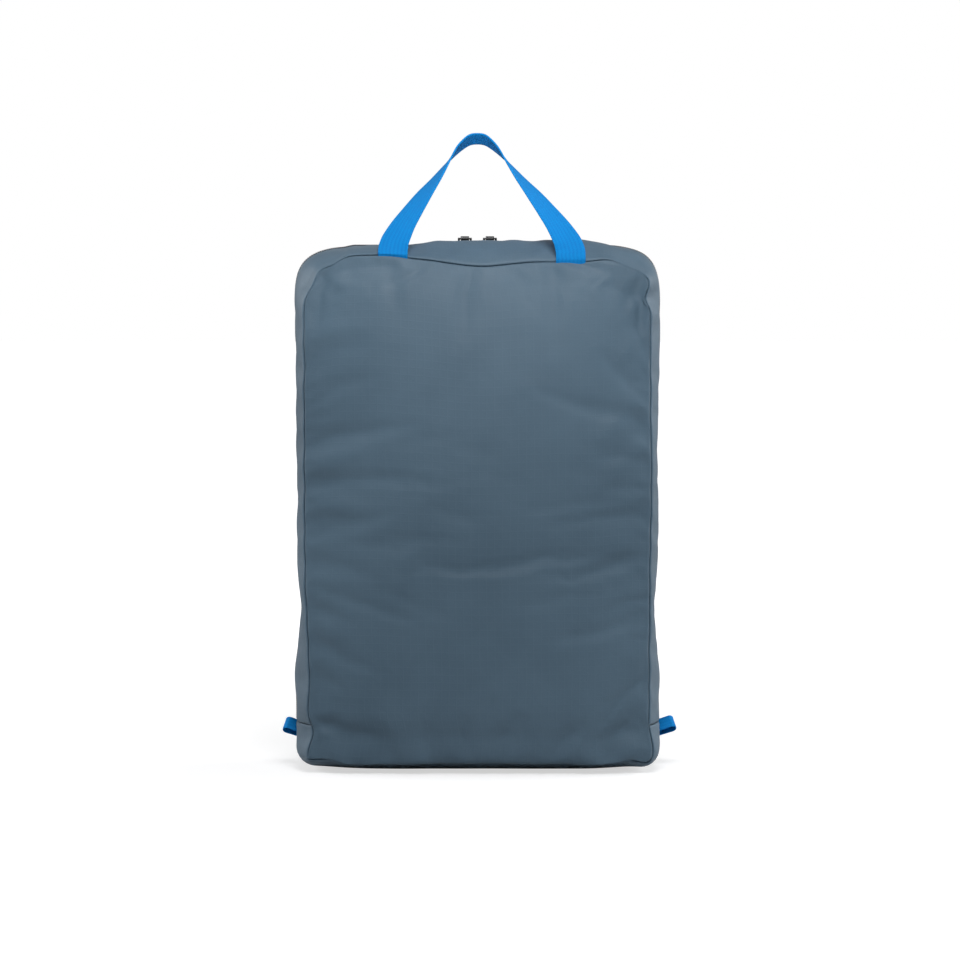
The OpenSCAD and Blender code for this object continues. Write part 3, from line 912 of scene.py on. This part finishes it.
def zip_teeth(name, facing):
    """Coil teeth along the path. They stop short of the middle where the sliders' bridges pass."""
    spots, outs, runs, at = zip_path(CREST, 1.45 * MM)
    shift = 0.3625 * MM * facing
    sections = []
    for spot, out, run in zip(spots, outs, runs):
        free = abs(spot[0]) < 84.5 * MM
        head, thick = (0.6, 0.42) if free else (-0.45, 0.34)
        outer, low, high = 3.25, -0.95, 0.78
        middle = (head + outer) / 2
        profile = [(head, low + 0.7), (head + 0.25, low + 0.1), (middle, low), (outer - 0.4, low), (outer, low + 0.5),
                   (outer, high - 0.7), (outer - 0.5, high - 0.1), (middle, high),
                   (head + 0.35, high - 0.25), (head, high - 0.8)]
        rings = []
        for along, swell in ((-thick, 0.78), (-thick * 0.62, 1.0), (thick * 0.62, 1.0), (thick, 0.78)):
            ring = []
            for y, up in profile:
                yy = middle + (y - middle) * swell
                uu = (low + high) / 2 + (up - (low + high) / 2) * swell
                ring.append(spot + run * (along * MM + shift) + out * uu * MM + np.array([0, facing * yy * MM, 0]))
            rings.append(ring)
        sections.append(rings)
    return solids(name, sections, teeth_dark)


def stitches(name, centres, outs, runs, length=2.2, radius=0.2):
    """A row of thread stitches lying in the cloth."""
    sections = []
    for spot, out, run in zip(centres, outs, runs):
        side = np.cross(run, out)
        rings = []
        for along, swell, lift in ((-0.5, 0.45, -0.14), (-0.38, 0.95, 0), (0, 1, 0.09), (0.38, 0.95, 0),
                                   (0.5, 0.45, -0.14)):
            middle = spot + run * along * length * MM + out * lift * MM
            rings.append([middle + (side * math.cos(a) + out * math.sin(a) * 0.8) * radius * swell * MM
                          for a in np.linspace(0, 2 * math.pi, 7)[:-1]])
        sections.append(rings)
    return solids(name, sections, seam_thread)


STITCH_END, STITCH_PITCH = 2.5 * MM, 2.9 * MM


def edge_stitches(name, rows, facing, inset):
    """Topstitching along a gusset strip, inset from its folded edge."""
    near = next(r for r, y in enumerate(DEPTHS) if abs(y - facing * WINDOW) < 1e-6)
    far = near + (1 if facing > 0 else -1)
    share = inset * MM / abs(DEPTHS[far] - DEPTHS[near])
    ks = np.arange(NX + NFOOT, RING - NFOOT + 1)
    line = (rows[near] * (1 - share) + rows[far] * share)[ks % RING]
    out3 = np.stack([ring_out[ks % RING, 0], np.zeros(len(ks)), ring_out[ks % RING, 1]], 1)
    gone = gone_along(line)
    at = np.arange(STITCH_END, gone[-1] - STITCH_END, STITCH_PITCH)
    spots = read_line(at, gone, line)
    outs = unit(read_line(at, gone, out3))
    runs = unit(read_line(at + 0.5 * MM, gone, line) - spots)
    outs = unit(outs - runs * (outs * runs).sum(1)[:, None])
    return stitches(name, spots, outs, runs)


def seam_binding(name, facing, bends, seed):
    """Folded tape that covers the cut edges inside the bag, along the whole of a panel's seam."""
    move = wander(bends, seed)
    profile = [(0.9, 0.0), (0.95, 0.45), (1.5, 0.62), (4, 0.5), (7, 0.55), (7.75, 0.45), (7.9, 0.0),
               (7.75, -0.45), (7, -0.55), (4, -0.5), (1.5, -0.62), (0.95, -0.45)]
    lines = []
    for inset, deep in profile:
        ring = outline(inset * MM) + move
        lines.append(np.stack([ring[:, 0], np.full(RING, facing * (37.3 + deep) * MM), ring[:, 1]], 1))
    block = np.array(lines + lines[:1]).transpose(1, 0, 2)
    block = np.concatenate([block, block[:1]])
    across = [p[0] * MM for p in profile] + [0.0]
    s = np.append(ring_s, RING_LENGTH)
    flat = np.array([[(a, t) for a in across] for t in s])
    sheet = Sheet()
    sheet.grid(block, flat)
    return close_ends(sheet.make(name, tape_dark))


# ---- webbing
def handle_drift(points, drop):
    """The sewn feet sit a little right of the middle, and their lower ends follow the seam."""
    points = np.array(points)
    if drop is None:
        height = np.clip((points[:, 2] - HANDLE_Z) / HANDLE_RISE, 0, 1)
        points[:, 0] += HANDLE_SHIFT * (1 - height) ** 1.2
        return points
    points[:, 0] += HANDLE_SHIFT
    seam = top_seam(points[:, 0])
    if drop:
        points[:, 2] = seam + (HANDLE_Z - seam) * points[:, 2] / MM
    else:
        points[:, 2] += seam
    return points


def ribbon(name, middles, flats, faces_, lengths, width, thick, material, drops):
    """A flat woven band: rounded edges, a raised edge cord and a slightly hollow middle."""
    profile = []
    for share, up in ((-1, 0), (-0.985, 0.34), (-0.93, 0.5), (-0.6, 0.47), (-0.2, 0.45), (0.2, 0.45), (0.6, 0.47),
                      (0.93, 0.5), (0.985, 0.34), (1, 0), (0.985, -0.34), (0.93, -0.5), (0.6, -0.47), (0.2, -0.45),
                      (-0.2, -0.45), (-0.6, -0.47), (-0.93, -0.5), (-0.985, -0.34)):
        profile.append((share * width / 2, up * thick))
    lines, flat_uv = [], []
    for m, f, n, s, drop in zip(middles, flats, faces_, lengths, drops):
        lines.append(handle_drift([m + f * a + n * b for a, b in profile + profile[:1]], drop))
        flat_uv.append([(a, s) for a, b in profile] + [(profile[0][0] - 0.2 * MM, s)])
    sheet = Sheet()
    sheet.grid(np.array(lines), np.array(flat_uv))
    return close_ends(sheet.make(name, material))


def carry_handle():
    spread = 60.0
    # half of the arch: across, up (mm) and the band's turn (degrees)
    arch = np.array([(60, 0, 0), (59.7, 3, 2), (59, 6, 8), (57.6, 10, 16), (52.4, 20, 30), (45.2, 31, 41),
                     (37.2, 42.4, 51), (28.6, 53.6, 63), (20.6, 65, 75), (14.8, 73, 84), (9.8, 78.2, 88),
                     (5.1, 81.6, 90), (0, 82.4, 90)])
    fine_arch = []
    ends = np.concatenate([[2 * arch[0] - arch[1]], arch, [arch[-2] * (-1, 1, 1)]])
    for a, b, c, d in zip(ends, ends[1:], ends[2:], ends[3:]):
        for t in np.linspace(0, 1, 20)[:-1]:
            fine_arch.append(0.5 * (2 * b + (c - a) * t + (2 * a - 5 * b + 4 * c - d) * t ** 2
                                    + (3 * b - a - 3 * c + d) * t ** 3))
    fine_arch = np.array(fine_arch + [arch[-1]])
    gone_arch = np.concatenate([[0], np.cumsum(np.hypot(*np.diff(fine_arch[:, :2], axis=0).T))])
    leg = gone_arch[-1]

    middles, flats, faces_, lengths, drops = [], [], [], [], []
    lean = Matrix.Rotation(-HANDLE_LEAN, 3, "X")
    root = Vector((0, HANDLE_Y, HANDLE_Z))
    stations = 110
    # below the line it turns on, the band lies on the gusset's edge and then goes into the seam
    tail = [(0.5, -40.95, 1), (0.12, -40.9, 1), (0.0, -40.5, 0), (-0.9, -39.7, 0), (-2.2, -39.1, 0), (-4.6, -38.6, 0),
            (-8.2, -38.5, 0)]
    gone = -9.5
    for up, y, shared in tail[::-1]:
        middles.append(np.array([spread * MM, y * MM, up * MM]))
        flats.append(np.array([1.0, 0, 0]))
        tilt = math.radians(35) if 0 > up > -3 and not shared else 0.0
        faces_.append(np.array([0, -math.cos(tilt), -math.sin(tilt)]))
        gone = min(gone + 1.4, -0.1)
        lengths.append(gone * MM)
        drops.append(shared)
    for k in range(stations + 1):
        t = k / stations
        d = t * leg
        here, near, far = [np.array([np.interp(v, gone_arch, fine_arch[:, c]) for c in range(3)])
                           for v in (d, max(0, d - 1.2), min(leg, d + 1.2))]
        run = (far - near)[:2] if t < 1 else np.array([-1.0, 0])
        run = run / np.linalg.norm(run)
        turn = math.radians(here[2])
        flat = Vector((run[1] * math.cos(turn), math.sin(turn), -run[0] * math.cos(turn)))
        face = Vector((run[1] * math.sin(turn), -math.cos(turn), -run[0] * math.sin(turn)))
        drift = Vector((0, 0.9 * MM * math.sin(math.pi * t) * math.sin(5.1 * t), 0))
        middles.append(np.array(root + lean @ (Vector((here[0], 0, here[1])) * MM + drift)))
        flats.append(np.array(lean @ flat))
        faces_.append(np.array(lean @ face))
        lengths.append(d * MM)
        drops.append(None)
    drops += drops[-2::-1]
    flip = np.array([-1, 1, 1])
    total = 2 * leg * MM
    middles += [m * flip for m in middles[-2::-1]]
    flats += [f * flip * -1 for f in flats[-2::-1]]
    faces_ += [f * flip for f in faces_[-2::-1]]
    half = len(lengths)
    lengths += [total - s for s in lengths[-2::-1]]
    # the second leg's own across direction mirrors the first's
    for k in range(half, len(flats)):
        flats[k] = -flats[k]
    # keep one handedness through the whole band
    for k in range(1, len(flats)):
        if np.dot(flats[k], flats[k - 1]) < 0:
            flats[k] = -flats[k]
        if np.dot(faces_[k], faces_[k - 1]) < 0:
            faces_[k] = -faces_[k]
    return ribbon("handle_band", middles, flats, faces_, lengths, 20 * MM, 1.2 * MM, web_blue, drops)


def tape_loop(name, side):
    """A folded tab of tape at a zip end. Its tube runs back, up and inward."""
    c45, c18, s18 = math.sqrt(0.5), math.cos(math.radians(18)), math.sin(math.radians(18))
    radius, fold_at, thick = 2.7, (6.3 if side < 0 else 9.4), 1.0

    def place(u, v, w):
        y, z = -(w + v) * c45, (v - w) * c45
        return np.array([side * (124.5 + u * c18 - z * s18), y, 26.5 + u * s18 + z * c18]) * MM

    def path(q, w, lift):
        """q runs from 0 at one root, round the fold, to 1 at the other. lift is out of the band."""
        leg = 0.36
        r = radius + lift
        if q < leg or q > 1 - leg:
            v = r if q < leg else -r
            root = (-0.15 + (v - w) * c45 * s18) / c18
            share = q / leg if q < leg else (1 - q) / leg
            pinch = 1 - 0.1 * (1 - share)
            return place(root + (fold_at - root) * share, v * pinch, w)
        a = math.pi / 2 - (q - leg) / (1 - 2 * leg) * math.pi
        return place(fold_at + r * 0.98 * math.cos(a), r * math.sin(a), w)

    profile = [(-5, 0), (-4.9, 0.36), (-4.5, 0.5), (-1.6, 0.46), (1.6, 0.46), (4.5, 0.5), (4.9, 0.36), (5, 0),
               (4.9, -0.36), (4.5, -0.5), (1.6, -0.46), (-1.6, -0.46), (-4.5, -0.5), (-4.9, -0.36)]
    count = 44
    lines, flat = [], []
    for k in range(count + 1):
        q = k / count
        lines.append([path(q, w, up * thick) for w, up in profile + profile[:1]])
        flat.append([(w * MM, q * 24 * MM) for w, up in profile + profile[:1]])
    sheet = Sheet()
    sheet.grid(np.array(lines), np.array(flat))
    return close_ends(sheet.make(name, web_blue))


def folds_with_front(obj):
    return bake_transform(obj)


front_cloth = panel_cloth("front_panel_cloth", -1, FRONT_FOLDS)
back_cloth = panel_cloth("back_panel_cloth", 1, BACK_FOLDS)
front_strip, gusset_rows = gusset_cloth("front_gusset_cloth", "front")
back_strip, _ = gusset_cloth("back_gusset_cloth", "back")
base_cloth, _ = gusset_cloth("base_cloth", "base")
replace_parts(folds_with_front(front_cloth), "front_panel", "front_panel_foot")
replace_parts(folds_with_front(front_strip), "front_gusset")
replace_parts(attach(back_cloth, "back_shell"), "back_panel")
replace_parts(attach(back_strip, "back_shell"), "back_gusset")
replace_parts(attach(base_cloth, "back_shell"), "base_gusset")

for label, facing in (("front", -1), ("back", 1)):
    tape = zip_tape("zip_tape_" + label + "_woven", facing)
    teeth = zip_teeth("zip_teeth_" + label, facing)
    sewing = edge_stitches("zip_topstitch_" + label, gusset_rows, facing, 2.1)
    binding = seam_binding("binding_" + label, facing, FRONT_BENDS if facing < 0 else BACK_BENDS,
                                   3 if facing < 0 else 5)
    for piece in (tape, teeth, sewing, binding):
        if facing < 0:
            folds_with_front(piece)
        else:
            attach(piece, "back_shell")
    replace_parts(tape, "zip_tape_" + label)
    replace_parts(teeth, "zip_coil_" + label)
    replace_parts(binding, *(("front_seam_binding", "foot_seam_binding") if facing < 0 else ("back_seam_binding",)))

band = carry_handle()
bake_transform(band)
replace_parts(band, "handle_webbing", "handle_end_left", "handle_end_right")

for label, side in (("left", -1), ("right", 1)):
    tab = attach(tape_loop("zip_end_loop_" + label, side), "back_shell")
    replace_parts(tab, "loop_" + label)

for label in ("slider_left", "slider_right", "pull_left", "pull_right"):
    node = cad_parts[label]
    for place in node.material_slots:
        place.material = slider_paint
    edge = node.modifiers.new("rounded", "BEVEL")
    edge.width, edge.segments, edge.limit_method, edge.angle_limit = 0.24 * MM, 2, "ANGLE", math.radians(28)


# ---- floor
def floor_material():
    s = Shader("pale_floor")
    where = s.place()
    gap = s.node("ShaderNodeVectorMath", operation="LENGTH")
    s.feed(gap.inputs[0], where)
    far = s.ramp(gap.outputs["Value"], 0.2, 0.9)
    speck = s.ramp(s.noise(where, 90, 3), 0.3, 0.7, 0.0, 0.03)
    colour = s.mix(speck, (0.5, 0.5, 0.505, 1), (0.46, 0.46, 0.465, 1))
    shown = s.node("ShaderNodeLightPath").outputs["Is Camera Ray"]
    s.feed(s.surface.inputs["Emission Color"], (1, 1, 1, 1))
    s.feed(s.surface.inputs["Emission Strength"], s.math("MULTIPLY", shown, s.math("MULTIPLY_ADD", far, 0.42, 0.6)))
    return s.finish(colour, 0.9)


floor = build("floor", [(-30, -30, 0), (30, -30, 0), (30, 30, 0), (-30, 30, 0)], [(0, 1, 2, 3)],
              [(0, 0), (1, 0), (1, 1), (0, 1)], floor_material(), smooth=False)
floor.location.z = -0.0002

bpy.context.view_layer.update()
